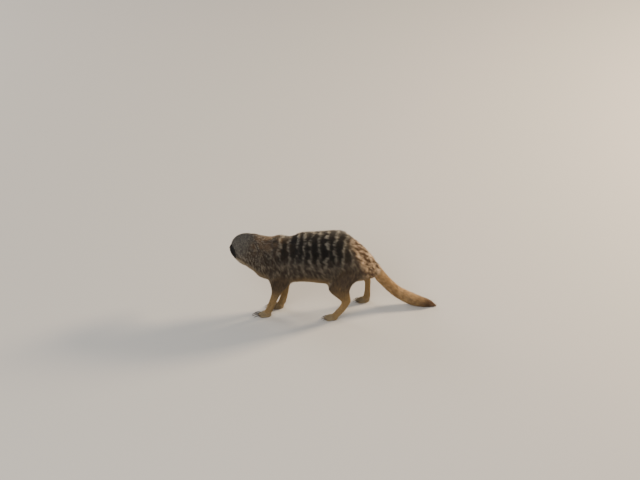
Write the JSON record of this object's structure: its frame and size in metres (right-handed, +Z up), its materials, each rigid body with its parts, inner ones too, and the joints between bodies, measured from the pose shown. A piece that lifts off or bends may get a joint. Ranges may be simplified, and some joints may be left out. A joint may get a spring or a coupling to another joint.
{
  "type": "meerkat",
  "caption": "Life-size meerkat walking on all fours with its head turned to its right, in a short banded coat, its tail tip laid on the ground.",
  "frame": {"origin": "on the floor, at the middle of the footprint of the whole animal's bounding box", "axes": "the animal faces -Y and its tail points +Y, its left side is +X, +Z is up"},
  "size_m": [0.107, 0.3406, 0.1497],
  "materials": {
    "coat_grey": "short grizzled grey-brown hair with dark bands across the back",
    "coat_sand": "short sandy hair",
    "coat_dark": "dark brown hair of the tail's tip",
    "ear_dark": "thin black skin with very short hair",
    "nose_skin": "bare, slightly moist dark skin",
    "eye": "wet and glossy, dark brown",
    "claw": "dark horn, satin"
  },
  "bodies": {
    "root": {"claw_fore_left_1": "claw", "claw_fore_left_2": "claw", "claw_fore_left_3": "claw", "claw_fore_left_4": "claw", "claw_fore_right_1": "claw", "claw_fore_right_2": "claw", "claw_fore_right_3": "claw", "claw_fore_right_4": "claw", "claw_hind_left_1": "claw", "claw_hind_left_2": "claw", "claw_hind_left_3": "claw", "claw_hind_left_4": "claw", "claw_hind_right_1": "claw", "claw_hind_right_2": "claw", "claw_hind_right_3": "claw", "claw_hind_right_4": "claw", "ear_left": "ear_dark", "ear_right": "ear_dark", "eye_left": "eye", "eye_right": "eye", "foreleg_left": "coat_sand", "foreleg_right": "coat_sand", "forepaw_left": "coat_sand", "forepaw_right": "coat_sand", "head": "coat_grey", "hindleg_left": "coat_sand", "hindleg_right": "coat_sand", "hindpaw_left": "coat_sand", "hindpaw_right": "coat_sand", "neck": "coat_grey", "nose": "nose_skin", "tail_base": "coat_sand", "tail_tip": "coat_dark", "trunk": "coat_grey"}
  },
  "joints": []
}
